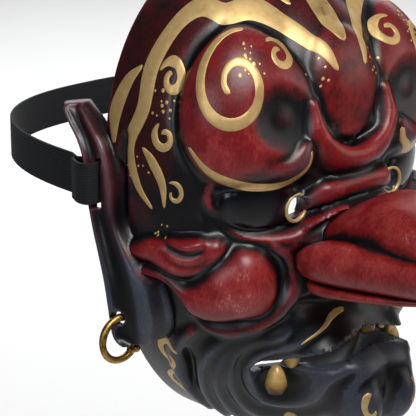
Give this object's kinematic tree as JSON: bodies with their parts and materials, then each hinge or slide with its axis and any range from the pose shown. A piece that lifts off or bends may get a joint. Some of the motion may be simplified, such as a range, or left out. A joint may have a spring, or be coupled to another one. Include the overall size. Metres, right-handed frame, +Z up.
{
  "type": "tengu stage mask",
  "caption": "Hollow demon-face stage mask with a long forward nose, bared gold teeth, slotted ears, an elastic head strap and a free hoop in each ear lobe.",
  "frame": {"origin": "middle of the open back at eye level, in the plane of the flat rim that meets the wearer's head", "axes": "+Z up, -Y the way the mask looks, +Y out of the open back towards the wearer, +X to the wearer's left"},
  "size_m": [0.2144, 0.3248, 0.242],
  "materials": {
    "lacquer": "satin varnish over antique red and black paint",
    "gold_paint": "satin gold",
    "brass": "worn satin",
    "elastic": "woven matte"
  },
  "bodies": {
    "mask": {"mask_shell": "lacquer", "upper_teeth": "gold_paint", "eye_rim_right": "gold_paint", "eye_rim_left": "gold_paint", "upper_fang_right": "gold_paint", "upper_fang_left": "gold_paint", "lower_fang_right": "gold_paint", "lower_fang_left": "gold_paint", "head_strap": "elastic"},
    "hoop_right": {"ear_hoop_right": "brass"},
    "hoop_left": {"ear_hoop_left": "brass"}
  },
  "joints": [
    {"name": "ear_hoop_right_swing", "type": "hinge", "parent": "mask", "child": "hoop_right", "pos_m": [-0.0948, -0.017, -0.053], "axis": [1, 0, 0], "range_deg": [-12, 60]},
    {"name": "ear_hoop_left_swing", "type": "hinge", "parent": "mask", "child": "hoop_left", "pos_m": [0.0948, -0.017, -0.053], "axis": [1, 0, 0], "range_deg": [-12, 60]}
  ]
}
